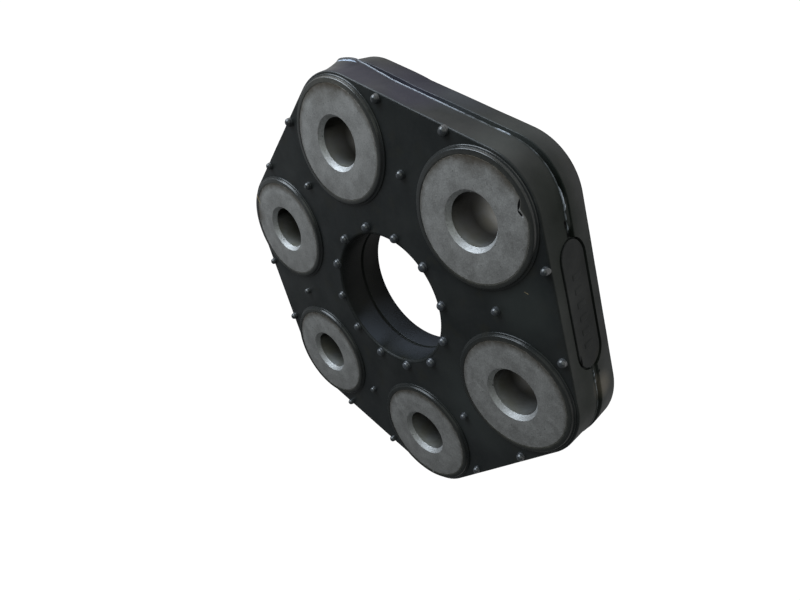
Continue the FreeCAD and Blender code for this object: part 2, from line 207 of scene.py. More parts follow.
table_white = bpy.data.materials.new("table_white")
table_white.use_nodes = True
table = table_white.node_tree
table.nodes.clear()
table_place = put(table, "TexCoord", {}).outputs["Object"]
glow_ramp = put(table, "ValToRGB", {"Fac": reach_of(table, table_place)})
stops = glow_ramp.color_ramp.elements
stops[0].position = GLOW_BY_REACH[0][0] * MM
stops[1].position = GLOW_BY_REACH[-1][0] * MM
for far, level in GLOW_BY_REACH[1:-1]:
    stops.new(far * MM)
for stop, (far, level) in zip(stops, GLOW_BY_REACH):
    stop.color = (level, level, level, 1)
lit_side = spread(table, far_along(table, table_place, CAMERA_SIDE), 0.0, 35 * MM, 0.5, 1.3)
glow = times(table, glow_ramp.outputs["Color"], lit_side)
seen = put(table, "LightPath", {}).outputs["Is Camera Ray"]
white = put(table, "Emission", {"Strength": spread(table, seen, 0, 1, glow, FLOOR_SHOWN)})
clear = put(table, "BsdfTransparent", {})
from_below = put(table, "NewGeometry", {}).outputs["Backfacing"]
sides = {0: from_below, 1: white.outputs["Emission"], 2: clear.outputs["BSDF"]}
table_sides = put(table, "MixShader", sides).outputs["Shader"]
put(table, "OutputMaterial", {"Surface": table_sides})
floor_mesh.materials.append(table_white)
print("the table's glow changes at", [far for far, level in GLOW_BY_REACH], "mm")

# %% Light the room
ROOM_LIGHT = 0.10
ROOM_SHOWN = 1.2

world = bpy.data.worlds.new("room")
bpy.context.scene.world = world
world.use_nodes = True
room_tree = world.node_tree
room = room_tree.nodes["Background"]
room.inputs["Color"].default_value = (0.90, 0.95, 1.0, 1)
room_seen = put(room_tree, "LightPath", {}).outputs["Is Camera Ray"]
room_level = spread(room_tree, room_seen, 0, 1, ROOM_LIGHT, ROOM_SHOWN)
room_tree.links.new(room_level, room.inputs["Strength"])
bpy.context.scene.view_settings.view_transform = "Standard"


def hang_panel(name, bearing, height, distance, size, power, colour):
    """A square light panel that looks at the part from a bearing and a height in degrees."""
    away = compass(bearing) * math.cos(math.radians(height)) + UP * math.sin(math.radians(height))
    light = bpy.data.lights.new(name, "AREA")
    light.shape = "SQUARE"
    light.size = size
    light.energy = power
    light.color = colour
    panel = bpy.data.objects.new(name, light)
    bpy.context.scene.collection.objects.link(panel)
    turn = away.to_track_quat("Z", "Y").to_matrix().to_4x4()
    panel.matrix_world = Matrix.Translation(AIM + away * distance) @ turn
    print(name, "at", bearing, "degrees, height", height)


hang_panel("cool_window", 14, 24, 0.58, 0.44, 3.2, (0.81, 0.905, 1.0))
hang_panel("second_window", 80, 25, 0.9, 0.7, 0.30, (0.94, 0.97, 1.0))
hang_panel("green_fill", -60, 35, 0.9, 0.9, 1.25, (0.93, 1.0, 0.87))

# %% [markdown]
# ## Helpers for surfaces
# A finish is built up in layers: a ground colour, then clouds, spots and scratches over it.
# Every pattern reads the object's own coordinates in metres, so its grain has a real size, and
# it stays where it is when the camera moves.

# %% Surface helpers


def new_finish(name, metallic, roughness):
    """A new finish with its node tree, shader and the surface's own coordinates."""
    finish = bpy.data.materials.new(name)
    finish.use_nodes = True
    tree = finish.node_tree
    shader = tree.nodes["Principled BSDF"]
    shader.inputs["Metallic"].default_value = metallic
    shader.inputs["Roughness"].default_value = roughness
    where = put(tree, "TexCoord", {}).outputs["Object"]
    return finish, tree, shader, where


def read_layer(tree, name, output="Fac"):
    """What the piece's points carry under a name, as a number or as a vector."""
    return put(tree, "Attribute", {}, attribute_name=name).outputs[output]


def clouds(tree, where, size, detail=3.0):
    """Soft random patches, size in millimetres, from 0 to 1."""
    inputs = {"Vector": where, "Scale": 1 / (size * MM), "Detail": detail}
    return put(tree, "TexNoise", inputs).outputs["Fac"]


def paint(tree, share, under, over):
    """The colour under, covered by the colour over where share is 1."""
    return put(tree, "Mix", {0: share, 6: under, 7: over}, data_type="RGBA").outputs[2]


def spot(tree, where, place, inner, outer):
    """1 within inner millimetres of a place, 0 beyond outer."""
    inputs = {0: where, 1: [value * MM for value in place]}
    gap = put(tree, "VectorMath", inputs, operation="DISTANCE").outputs["Value"]
    return spread(tree, gap, inner * MM, outer * MM, 1.0, 0.0)


def ellipsoid_share(tree, where, place, turn, size):
    """1 inside a long thin ellipsoid, 0 outside: a mark such as a scratch, a painted highlight streak
    and a painted shadow, of a given place, turn and half sizes.
    """
    inputs = {
        "Vector": where,
        "Location": [value * MM for value in place],
        "Rotation": (0, 0, math.radians(turn)),
        "Scale": [value * MM for value in size],
    }
    own = put(tree, "Mapping", inputs, vector_type="TEXTURE").outputs["Vector"]
    return spread(tree, reach_of(tree, own), 0.7, 1.0, 1.0, 0.0)


def relief(tree, shader, height, depth):
    """Small bumps of the given depth in millimetres."""
    bump = put(tree, "Bump", {"Height": height, "Distance": depth * MM, "Strength": 1.0})
    tree.links.new(bump.outputs["Normal"], shader.inputs["Normal"])


print("surface helpers ready")

# %% [markdown]
# ## Moulded rubber
# Carbon-black rubber is nearly black and has a dull satin skin. It picks up a bloom of dust
# and release agent in cloudy patches, and where the flash was torn off it is pale. The torn
# parts are painted by an attribute named torn that the mould seam carries; along the lip's
# edge that paleness is partly a painted highlight. Over the skin lie balls of colour: paler
# ones are painted light and dark green ones painted shade, and a few plum ones tint the walls
# near one corner purplish. In the centre hole blue balls are painted light, and on the pips a
# blue cast is a painted reflection of a bright room. Each ball has a place, a reach, a tone
# and the share of the shine that it takes away. One recipe gives four finishes: the dull
# skin, the smoother collars, the rough panel and the glossier pips.

# %% Rubber tones
RUBBER_BLACK = (0.0125, 0.0145, 0.0145, 1)
RUBBER_DUSTY = (0.0225, 0.0245, 0.0230, 1)
RUBBER_OLIVE = (0.0240, 0.0230, 0.0140, 1)
# Pale torn rubber, also the painted highlight along the lip's edge.
RUBBER_TORN_AND_LIT = (0.50, 0.55, 0.63, 1)
RUBBER_FILM = (0.085, 0.080, 0.066, 1)
RUBBER_PALE_TAN = (0.17, 0.15, 0.12, 1)
# Bluish rubber, used as painted light and painted reflection.
RUBBER_PAINTED_BLUE_LIGHT = (0.062, 0.069, 0.082, 1)
# Paler rubber, used as painted light.
RUBBER_PAINTED_LIGHT = (0.036, 0.041, 0.038, 1)
# Dark green rubber, used as painted shade.
RUBBER_PAINTED_SHADE = (0.007, 0.012, 0.007, 1)
RUBBER_PLUM = (0.022, 0.020, 0.038, 1)
SCRATCH_TAN = (0.46, 0.35, 0.20, 1)
SPECK_WHITE = (0.60, 0.60, 0.58, 1)
# Bluish white of a painted highlight.
HIGHLIGHT_WHITE = (0.62, 0.75, 0.95, 1)
# Black of the torn tag on the steel, also used for painted shadow.
TAG_AND_SHADOW_BLACK = (0.010, 0.010, 0.010, 1)
print("torn rubber is", round(RUBBER_TORN_AND_LIT[1] / RUBBER_BLACK[1]), "times as bright as its skin")

# %% Places of painted light, painted shade and marks
# Patches on the skin: paler ones are painted light, dark green ones painted shade that also dulls the
# shine, and plum ones tint the walls near one corner purplish.
LIGHT_AND_SHADE_PATCHES = [
    ((-32.0, -27.0, 19.8), 20.0, RUBBER_PAINTED_LIGHT, 0.0),
    ((2.0, -53.0, 19.8), 12.0, RUBBER_PAINTED_LIGHT, 0.0),
    ((-26.0, -64.0, 4.0), 17.0, RUBBER_PAINTED_LIGHT, 0.0),
    ((10.0, -65.0, 3.0), 20.0, RUBBER_PAINTED_LIGHT, 0.3),
    ((44.0, -52.5, 4.0), 14.0, RUBBER_PAINTED_LIGHT, 0.0),
    ((57.0, -34.0, 0.5), 16.0, RUBBER_PAINTED_BLUE_LIGHT, 0.0),
    ((43.5, -54.0, 17.5), 9.0, RUBBER_PAINTED_LIGHT, 0.0),
    ((33.0, -67.0, 14.0), 12.0, RUBBER_PAINTED_SHADE, 0.6),
    ((22.0, -68.0, 14.0), 12.5, RUBBER_PAINTED_SHADE, 0.9),
    ((10.0, -68.0, 15.0), 12.5, RUBBER_PAINTED_SHADE, 0.8),
    ((-2.0, -68.0, 15.0), 12.5, RUBBER_PAINTED_SHADE, 0.8),
    ((-14.0, -68.0, 15.0), 12.5, RUBBER_PAINTED_SHADE, 0.8),
    ((-26.0, -67.0, 15.0), 12.5, RUBBER_PAINTED_SHADE, 0.7),
    ((66.0, -12.0, 17.0), 13.0, RUBBER_PLUM, 0.3),
    ((58.0, -27.0, 14.0), 11.0, RUBBER_PLUM, 0.1),
    ((63.0, -22.0, 4.0), 13.0, RUBBER_PLUM, 0.0),
]
# Painted light on the wall of the centre hole.
HOLE_PAINTED_LIGHT = [
    ((-13.5, 17.3, 11.0), 9.5, RUBBER_PAINTED_BLUE_LIGHT, 0.0),
    ((-20.5, 6.0, 9.0), 11.0, RUBBER_PAINTED_BLUE_LIGHT, 0.0),
    ((-22.0, -4.0, 8.0), 13.0, RUBBER_PAINTED_BLUE_LIGHT, 0.0),
    ((-14.0, 16.5, 18.5), 7.5, RUBBER_PAINTED_BLUE_LIGHT, 0.0),
    ((-14.0, 16.5, 4.0), 9.0, RUBBER_PAINTED_BLUE_LIGHT, 0.0),
    ((-21.5, 4.0, 4.0), 10.0, RUBBER_PAINTED_BLUE_LIGHT, 0.0),
]
# A painted reflection of a bright room, over all the pips.
PIP_PAINTED_REFLECTION = [((-10.0, -15.0, 21.0), 60.0, RUBBER_PAINTED_BLUE_LIGHT, 0.0)]
# A pale tan spot low on the side wall by the panel.
PALE_SPOT_PLACE = (-25.0, -63.5, 8.0)
RUBBER_SCARS_AND_HIGHLIGHT = [
    ((6.04, -54.69, 19.85), 60, (0.7, 0.13, 0.3), SCRATCH_TAN),
    ((37.1, 55.3, 21.0), -3, (1.9, 0.30, 0.5), SCRATCH_TAN),
    # A painted highlight along the flare of the ear of flash.
    ((70.4, -3.6, 11.9), 0, (2.4, 5.2, 0.45), HIGHLIGHT_WHITE),
    ((-67.1, 1.6, 20.9), 20, (0.45, 0.25, 0.5), SPECK_WHITE),
]
# Painted shadow in the ends and edges of the moat round the panel.
PAINTED_SHADOWS = [
    ((17.8, -62.9, 10.4), (1.7, 1.0, 1.1)),
    ((20.2, -62.9, 11.3), (1.4, 1.0, 0.5)),
    ((-14.2, -62.9, 15.2), (2.2, 1.0, 0.45)),
    ((-20.4, -62.9, 8.6), (0.9, 1.0, 0.5)),
]
print(len(LIGHT_AND_SHADE_PATCHES), "hazes,", len(RUBBER_SCARS_AND_HIGHLIGHT), "scars,", len(PAINTED_SHADOWS), "dark places")

# %% Layers of the rubber's colour
PATCH_SHARE = 0.8
PATCH_CORE = 4.0
WALL_ENDS = (19.4, 19.8)


def lay_skin(tree, where):
    """The colour of untouched rubber: black with a bloom of dust, stains and scuffs."""
    bloom = spread(tree, clouds(tree, where, 14, 4.0), 0.38, 0.72)
    stained = spread(tree, clouds(tree, where, 6, 3.0), 0.58, 0.75, 0.0, 0.5)
    scuffed = spread(tree, clouds(tree, where, 1.4, 5.0), 0.5, 0.8, 0.0, 0.6)
    colour = paint(tree, bloom, RUBBER_BLACK, RUBBER_DUSTY)
    colour = paint(tree, stained, colour, RUBBER_OLIVE)
    return paint(tree, scuffed, colour, RUBBER_DUSTY)


def lay_patches(tree, where, colour, shine, patches):
    """Colour and shine under the patches of painted light and painted shade; those with their middle
    on the wall end at its top.
    """
    starts, ends = WALL_ENDS
    on_wall = spread(tree, far_along(tree, where, UP), starts * MM, ends * MM, PATCH_SHARE, 0.0)
    for place, reach, tone, dulling in patches:
        share = on_wall if place[2] < starts else PATCH_SHARE
        patch_share = times(tree, spot(tree, where, place, PATCH_CORE, reach), share)
        colour = paint(tree, patch_share, colour, tone)
        kept = work_out(tree, "SUBTRACT", 1.0, times(tree, patch_share, dulling))
        shine = times(tree, shine, kept)
    return colour, shine


def lay_marks(tree, where, colour, shine):
    """Colour and shine under the thin film, the torn flash with its painted highlight, the scars, the
    painted highlight on the ear and the painted shadows.
    """
    blotchy = spread(tree, clouds(tree, where, 1.5, 4.0), 0.3, 0.7, 0.7, 1.3)
    ragged = spread(tree, clouds(tree, where, 0.7, 2.0), 0.25, 0.5)
    crumbly = spread(tree, clouds(tree, where, 0.45, 3.0), 0.36, 0.56, 0.15, 1.0)
    colour = paint(tree, times(tree, read_layer(tree, "film"), blotchy), colour, RUBBER_FILM)
    # Torn flash, with the painted highlight along the lip's edge.
    colour = paint(tree, times(tree, read_layer(tree, "torn"), ragged), colour, RUBBER_TORN_AND_LIT)
    # Scratches, a speck and a painted highlight streak.
    for place, turn, size, tone in RUBBER_SCARS_AND_HIGHLIGHT:
        mark_share = times(tree, ellipsoid_share(tree, where, place, turn, size), crumbly)
        colour = paint(tree, mark_share, colour, tone)
    # Painted shadows, which also take away shine.
    for place, size in PAINTED_SHADOWS:
        dark = times(tree, ellipsoid_share(tree, where, place, 0, size), ragged)
        colour = paint(tree, dark, colour, TAG_AND_SHADOW_BLACK)
        shine = times(tree, shine, work_out(tree, "SUBTRACT", 1.0, dark))
    return colour, shine


print("rubber layers ready")

# %% Mix the four rubber finishes


def mix_rubber(name, smoothest, dullest, depth, shines, patches, reflection_share=0.0):
    """A finish of moulded rubber between two roughnesses, with skin bumps of a given depth."""
    finish, tree, shader, where = new_finish(name, 0.0, dullest)
    across = spread(tree, far_along(tree, where, compass(0)), -50 * MM, 50 * MM, *shines)
    cloudy = spread(tree, clouds(tree, where, 10, 4.0), 0.32, 0.68, 0.78, 1.28)
    skin = lay_skin(tree, where)
    colour, shine = lay_patches(tree, where, skin, times(tree, across, cloudy), patches)
    # A pale tan spot low on the side wall.
    pale_spot = times(tree, spot(tree, where, PALE_SPOT_PLACE, 1.2, 4.6), 0.85)
    colour = paint(tree, pale_spot, colour, RUBBER_PALE_TAN)
    # On the pips, a bluish painted reflection of a bright room.
    colour = paint(tree, reflection_share, colour, RUBBER_PAINTED_BLUE_LIGHT)
    colour, shine = lay_marks(tree, where, colour, shine)
    tree.links.new(colour, shader.inputs["Base Color"])
    tree.links.new(shine, shader.inputs["Specular IOR Level"])
    satin = spread(tree, clouds(tree, where, 9, 5.0), 0.3, 0.7, smoothest, dullest)
    tree.links.new(satin, shader.inputs["Roughness"])
    grain = clouds(tree, where, 0.35, 2.0)
    swell = spread(tree, clouds(tree, where, 4, 2.0), 0, 1, 0, 2.5)
    relief(tree, shader, work_out(tree, "ADD", grain, swell), depth)
    print("finish", name)
    return finish


# The skin's patches are painted light and shade, the smooth finish's patches are painted light in the
# centre hole, and the pips carry a painted reflection.
rubber = mix_rubber("moulded_rubber", 0.34, 0.50, 0.012, (0.62, 0.38), LIGHT_AND_SHADE_PATCHES)
collar_rubber = mix_rubber("smooth_rubber", 0.23, 0.35, 0.005, (0.38, 0.85), HOLE_PAINTED_LIGHT)
panel_rubber = mix_rubber("panel_rubber", 0.45, 0.60, 0.012, (0.25, 0.25), [])
pip_rubber = mix_rubber("pip_rubber", 0.34, 0.42, 0.002, (1.0, 0.8), PIP_PAINTED_REFLECTION, reflection_share=0.25)
pip_shader = pip_rubber.node_tree.nodes["Principled BSDF"]
pip_shader.inputs["Coat Weight"].default_value = 0.7
pip_shader.inputs["Coat Roughness"].default_value = 0.14

# %% [markdown]
# ## Steel
# The discs were blasted with grit so that the rubber holds on to them: a dull, fine-grained
# grey, with brown stains near the edge. On the side towards the cool window that brown is also
# a painted shadow of the collar. The mouth of each bolt hole was turned afterwards and is
# bright, and on the bushes further from the cool window it is painted darker as painted shade.
# The bore has clouds of olive and grey oil film under painted light and painted shade: pale
# near the mouths and on one side, darkest half way down. Each lathe-made steel piece carries
# an attribute named own, its place seen from its axis in millimetres, which keeps stains,
# painted light and painted shade centred on their bush.

# %% Steel tones and marks
STEEL_GREY = (0.36, 0.35, 0.335, 1)
STEEL_PALE = (0.54, 0.53, 0.51, 1)
STEEL_BRIGHT = (0.75, 0.75, 0.75, 1)
# Dark pits, also the painted shade of the mouths.
STEEL_PIT_AND_SHADE = (0.10, 0.10, 0.09, 1)
# Brown of the stains, also the painted shadow of the collar.
EDGE_BROWN_AND_SHADE = (0.085, 0.065, 0.040, 1)
STRAW = (0.62, 0.55, 0.36, 1)
MOUTH_BRIGHT = (0.66, 0.66, 0.66, 1)
MOUTH_DULL = (0.48, 0.48, 0.475, 1)
BORE_OLIVE = (0.64, 0.63, 0.55, 1)
BORE_GREY = (0.74, 0.75, 0.75, 1)
# Painted shade in the bores.
BORE_PAINTED_SHADE = (0.018, 0.017, 0.014, 1)
# Most stand on the side of a disc towards the cool window, where they are also painted shadow of the
# collar.
EDGE_STAINS_AND_SHADOWS = [
    ((67.0, 1.0, TOP), 2.5, 7.0, 0.45),
    ((66.5, -6.5, TOP), 2.5, 7.0, 0.45),
    ((41.8, -48.4, TOP), 2.0, 6.5, 0.55),
    ((36.0, -57.5, TOP), 1.5, 5.5, 0.55),
    ((31.0, 58.2, TOP), 1.0, 4.5, 0.50),
]
STEEL_SCARS = [
    ((36.6, 55.3, TOP), -3, (1.9, 0.30, 0.5), STRAW),
    ((28.7, -58.8, TOP), -25, (1.7, 0.40, 0.5), TAG_AND_SHADOW_BLACK),
    ((26.6, -58.6, TOP), 30, (1.1, 0.35, 0.5), TAG_AND_SHADOW_BLACK),
]
TAG_GLINT = (25.7, -59.1, TOP)
# Painted shade in one bore and a painted lighter patch in another.
BORE_LIGHT_AND_SHADE = [
    ((27.5, -36.5, 15.5), 9.0, 0.6, BORE_PAINTED_SHADE),
    ((27.0, -36.3, 6.0), 9.0, 0.45, BORE_PAINTED_SHADE),
    ((-31.8, -45.0, 15.5), 7.0, 0.3, BORE_GREY),
]
print(len(EDGE_STAINS_AND_SHADOWS), "edge stains and", len(BORE_LIGHT_AND_SHADE), "patches in the bores")

# %% Mix the blasted steel
blasted, tree, shader, where = new_finish("blasted_steel", 0.85, 0.62)
blast = work_out(tree, "ADD", clouds(tree, where, 0.33, 1.0), clouds(tree, where, 4.0, 3.0))
pitted = spread(tree, clouds(tree, where, 0.6, 1.0), 0.72, 0.78)
glint = spread(tree, clouds(tree, where, 0.5, 0.0), 0.86, 0.92, 0.0, 0.7)
colour = paint(tree, spread(tree, blast, 0.74, 1.26), STEEL_GREY, STEEL_PALE)
colour = paint(tree, pitted, colour, STEEL_PIT_AND_SHADE)
colour = paint(tree, glint, colour, STEEL_BRIGHT)
matt = spread(tree, clouds(tree, where, 1.2, 4.0), 0.3, 0.7, 0.54, 0.70)
tree.links.new(matt, shader.inputs["Roughness"])
relief(tree, shader, clouds(tree, where, 0.22, 3.0), 0.02)
print("finish", blasted.name)

# %% Stain the blasted steel and paint the collar's shadow on it
own = read_layer(tree, "own", "Vector")
uneven = spread(tree, clouds(tree, where, 1.6, 5.0), 0.3, 0.7, -0.4, 0.4)
# Painted shadow of the collar: the brown reaches further in towards bearing -10.
lean = times(tree, far_along(tree, own, compass(-10)), 0.07)
film_reach = work_out(tree, "ADD", work_out(tree, "ADD", reach_of(tree, own), uneven), lean)
colour = paint(tree, spread(tree, film_reach, 15.6, 17.8, 0.0, 0.8), colour, EDGE_BROWN_AND_SHADE)
patchy = spread(tree, clouds(tree, where, 2.5, 5.0), 0.3, 0.7, 0.7, 1.15)
# Stains, partly painted shadow of the collar.
for place, inner, outer, share in EDGE_STAINS_AND_SHADOWS:
    edge_mark = times(tree, spot(tree, where, place, inner, outer), share)
    colour = paint(tree, times(tree, edge_mark, patchy), colour, EDGE_BROWN_AND_SHADE)
for place, turn, size, tone in STEEL_SCARS:
    colour = paint(tree, ellipsoid_share(tree, where, place, turn, size), colour, tone)
colour = paint(tree, spot(tree, where, TAG_GLINT, 0.15, 0.35), colour, STEEL_BRIGHT)
tree.links.new(colour, shader.inputs["Base Color"])
print(len(STEEL_SCARS), "scars on the steel")

# %% Mix the turned mouths
turned, tree, shader, where = new_finish("turned_steel", 0.85, 0.64)
brighter = spread(tree, clouds(tree, where, 0.5, 2.0), 0.3, 0.7)
# Painted shade: the mouths get darker on the bushes further from the cool window.
far_side_shade = spread(tree, far_along(tree, where, compass(0)), -25 * MM, 50 * MM, 0.22, 0.0)
nicked = spread(tree, clouds(tree, where, 0.7, 0.0), 0.80, 0.84)
colour = paint(tree, brighter, MOUTH_DULL, MOUTH_BRIGHT)
for share in (far_side_shade, nicked):
    colour = paint(tree, share, colour, STEEL_PIT_AND_SHADE)
tree.links.new(colour, shader.inputs["Base Color"])
relief(tree, shader, clouds(tree, where, 0.3, 2.0), 0.01)
print("finish", turned.name)

# %% Mix the bores: oil film under painted light and painted shade
BORE_MIDDLE = 11.5
BORE_HALF = 6.5

bore_steel, tree, shader, where = new_finish("bore_oil_and_painted_light", 0.8, 0.42)
shader.inputs["Specular IOR Level"].default_value = 0.2
# Painted light near both mouths and on the side of the wall towards bearing 135, painted shade half
# way down.
above = work_out(tree, "SUBTRACT", far_along(tree, where, UP), BORE_MIDDLE * MM)
from_middle = work_out(tree, "ABSOLUTE", above, 0)
ends = work_out(tree, "POWER", spread(tree, from_middle, 0, BORE_HALF * MM, 0.4, 1.0), 2.2)
toward_light = far_along(tree, read_layer(tree, "own", "Vector"), compass(135))
side = spread(tree, toward_light, 0.3, 7.2, 0.03, 1.0)
film = spread(tree, clouds(tree, where, 5, 4.0), 0.35, 0.65)
brighter = paint(tree, film, BORE_GREY, BORE_OLIVE)
colour = paint(tree, times(tree, ends, side), BORE_PAINTED_SHADE, brighter)
for place, reach, share, tone in BORE_LIGHT_AND_SHADE:
    patch = times(tree, spot(tree, where, place, 2.0, reach), share)
    colour = paint(tree, patch, colour, tone)
tree.links.new(colour, shader.inputs["Base Color"])
relief(tree, shader, clouds(tree, where, 0.4, 3.0), 0.02)
print("finish", bore_steel.name)

# %% [markdown]
# ## Drawing profiles
# Nearly every form here is a profile that is carried round something: turned about an axis, or
# run round the bushes as a mould cutter does. A profile is a list of corners, each with its
# distance, its height and the radius of its rounding. Rounding the corners in the profile is
# cleaner than bevelling the finished mesh, because the faces stay long strips.

# %% Soften a profile


def soften(corners, steps=4, closed=False):
    """The points along a profile whose corners (reach, height, rounding) are rounded."""
    points = []
    count = len(corners)
    for i, (reach, height, rounding) in enumerate(corners):
        here = Vector((reach, height))
        at_end = not closed and i in (0, count - 1)
        if rounding == 0 or at_end:
            points.append(here)
            continue
        back = (Vector(corners[i - 1][:2]) - here).normalized()
        ahead = (Vector(corners[(i + 1) % count][:2]) - here).normalized()
        half = back.angle(ahead) / 2
        centre = here + (back + ahead).normalized() * rounding / math.sin(half)
        start = here + back * rounding / math.tan(half) - centre
        end = here + ahead * rounding / math.tan(half) - centre
        for step in range(steps + 1):
            points.append(centre + start.lerp(end, step / steps).normalized() * rounding)
    return points


print("a rounded right angle has", len(soften([(0, 1, 0), (0, 0, 0.2), (1, 0, 0)])), "points")

# %% Carry a profile round


def draw_rib(bm, points, foot, outward, up=UP, closed=False):
    """A chain of edges through the profile's points, standing on foot."""
    verts = [bm.verts.new(foot + outward * point[0] + up * point[1]) for point in points]
    edges = [bm.edges.new(pair) for pair in zip(verts, verts[1:])]
    if closed:
        edges.append(bm.edges.new((verts[-1], verts[0])))
    return verts + edges


def turn_on_lathe(bm, points, axis_foot, steps, closed=False):
    """Turns a profile once about an upright axis."""
    rib = draw_rib(bm, points, axis_foot, Vector((1, 0, 0)), closed=closed)
    bmesh.ops.spin(
        bm, geom=rib, cent=axis_foot, axis=UP, angle=2 * math.pi, steps=steps, use_merge=True
    )


def repeat_round(bm, middle, axis, count):
    """Copies all that is drawn so far, to stand evenly round an axis."""
    whole = bm.verts[:] + bm.edges[:] + bm.faces[:]
    angle = 2 * math.pi * (count - 1) / count
    bmesh.ops.spin(
        bm, geom=whole, cent=middle, axis=axis, angle=angle, steps=count - 1, use_duplicate=True
    )


def run_round(bm, rib, centres, axis, arc_steps, side_steps):
    """Runs a rib about the first centre, straight to the next, and repeats that all round."""
    count = len(centres)
    angle = 2 * math.pi / count
    arc = bmesh.ops.spin(bm, geom=rib, cent=centres[0], axis=axis, angle=angle, steps=arc_steps)
    stride = (centres[1] - centres[0]) / side_steps
    bmesh.ops.spin(
        bm, geom=arc["geom_last"], cent=centres[0], axis=axis, angle=0, dvec=stride, steps=side_steps
    )
    repeat_round(bm, sum(centres, Vector()) / count, axis, count)


print("profiles can be turned and run round")

# %% [markdown]
# ## From shape to piece
# A finished shape becomes a Blender object in one place, so that nothing is forgotten: it is
# scaled to metres, it gets its finishes, rides on the one body, and hides the CAD nodes that it
# stands for. Before that, its edges are marked sharp where the surface really turns.

# %% Piece helpers
SHARP_ANGLE = math.radians(35)
MERGE_GAP = 0.0005


def add_shape(bm, other):
    """Moves another shape into this one."""
    mesh = bpy.data.meshes.new("moved")
    other.to_mesh(mesh)
    other.free()
    bm.from_mesh(mesh)
    bpy.data.meshes.remove(mesh)


def close_seams(bm):
    """Merges the points that lie on each other and turns all faces outwards."""
    bmesh.ops.remove_doubles(bm, verts=bm.verts, dist=MERGE_GAP)
    bmesh.ops.recalc_face_normals(bm, faces=bm.faces)


def mark_edges(bm):
    """Smooth shading everywhere, except over real edges."""
    for face in bm.faces:
        face.smooth = True
    for edge in bm.edges:
        edge.smooth = edge.is_manifold and edge.calc_face_angle(0) < SHARP_ANGLE


def finish_piece(name, bm, finishes, nodes):
    """Makes a shape in millimetres into a piece that stands for the named CAD nodes."""
    bmesh.ops.scale(bm, vec=(MM, MM, MM), verts=bm.verts)
    mesh = bpy.data.meshes.new(name)
    bm.to_mesh(mesh)
    triangles = sum(len(face.verts) - 2 for face in bm.faces)
    bm.free()
    for finish in finishes:
        mesh.materials.append(finish)
    piece = bpy.data.objects.new(name, mesh)
    bpy.context.scene.collection.objects.link(piece)
    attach(piece, "root")
    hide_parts(*nodes)
    print(name, "has", triangles, "triangles")
    return piece


print("edges turn sharp past", round(math.degrees(SHARP_ANGLE)), "degrees")

# %% [markdown]
# ## The rubber block: its rim
# The block was moulded in two halves. Each half has a little draft, so that it comes out of
# the mould, and the halves meet in a groove with a thin lip of flash. The whole rim is one
# profile that runs round the six bush axes: an arc about each bush, a straight side between.

# %% Run the rim
FRONT_FACE = 19.85
REAR_FACE = 1.8
RIM_CORNERS = [
    (18.80, FRONT_FACE, 0),
    (19.65, FRONT_FACE, 0.5),
    (19.69, 16.3, 0),
    (19.71, 14.3, 0),
    (19.72, 12.9, 0),
    (19.74, 12.0, 0),
    (19.75, 11.20, 0.2),
    (19.98, 10.88, 0.05),
    (19.98, 10.72, 0.05),
    (18.85, 10.56, 0.1),
    (18.80, 9.20, 0.15),
    (20.28, 9.00, 0.3),
    (20.13, REAR_FACE, 0.5),
    (19.30, REAR_FACE, 0),
]

block = bmesh.new()
rim_rib = draw_rib(block, soften(RIM_CORNERS), BUSH_AXES[0], compass(-30))
run_round(block, rim_rib, BUSH_AXES, UP, arc_steps=40, side_steps=100)
close_seams(block)
print("rim run round with", len(block.verts), "points")

# %% [markdown]
# ## Ragged flash on the mould seam
# The lip is where rubber crept between the mould halves and was torn off, so its edge is never
# straight. Moving its points in and out by a smooth random pattern makes it look torn, and
# needs no sculpting by hand. The lip's edge is painted pale all along, partly as torn rubber
# and partly as a painted highlight where the edge catches the cool window. A few scraps stand
# out further, and the groove has filled up at the ends of the panel. Each scrap is named by
# its bearing, its half width in degrees, how far it stands out and how pale it is; the first
# stands out nowhere and only paints a pale highlight along one side of the lip. At one bush
# the whole wall flares out to an ear of torn flash. The ear is a list of straight runs from
# bearing to bearing, and it fades towards the front face. Beside it the rear wall is swollen a
# little and closes the groove.

# %% Directions and humps


def outward_from(point):
    """The direction straight out of the block at a point of its rim."""
    bearing = math.degrees(math.atan2(point.y, point.x))
    side = compass(60 * math.floor(bearing / 60) + 30)
    along = side.cross(UP).dot(point)
    if abs(along) <= PITCH / 2:
        return side
    bush = BUSH_AXES[round(bearing / 60) % BUSHES]
    return (Vector((point.x, point.y, 0)) - bush).normalized()


def hump(bearing, centre, half_width):
    """1 round a bearing, falling smoothly to 0 at half_width degrees from it."""
    gap = abs((bearing - centre + 180) % 360 - 180) / half_width
    return 1 - gap**4 if gap < 1 else 0.0


print("half way to its foot a hump is still", hump(5.0, 0.0, 10.0), "high")

# %% The ear and the swollen wall
GROOVE_LOW = 9.1
LIP_LOW = 10.6
LIP_TIP = 10.95
LIP_HIGH = 11.4
EAR_TOP = 18.5
EAR_DROP = 6.9
EAR_RUNS = [
    (-17.0, -6.8, 0.0, 0.9),
    (-6.8, -5.4, 0.9, 1.4),
    (-5.4, 0.4, 1.4, 2.0),
    (0.4, 2.4, 2.0, 1.2),
    (2.4, 13.0, 1.2, 0.0),
]
FILLED = [(-70.0, 4.2, 1.15), (-108.5, 3.0, 0.8)]


def ear(bearing, z):
    """How far the big scrap stands out: high at the seam, and running out along the wall."""
    height = 0.0
    for start, end, start_height, end_height in EAR_RUNS:
        if start <= bearing < end:
            share = (bearing - start) / (end - start)
            height = start_height + share * (end_height - start_height)
    if z < LIP_TIP:
        return height
    return height * 0.86 * max(0.0, (EAR_TOP - z) / EAR_DROP) ** 1.6


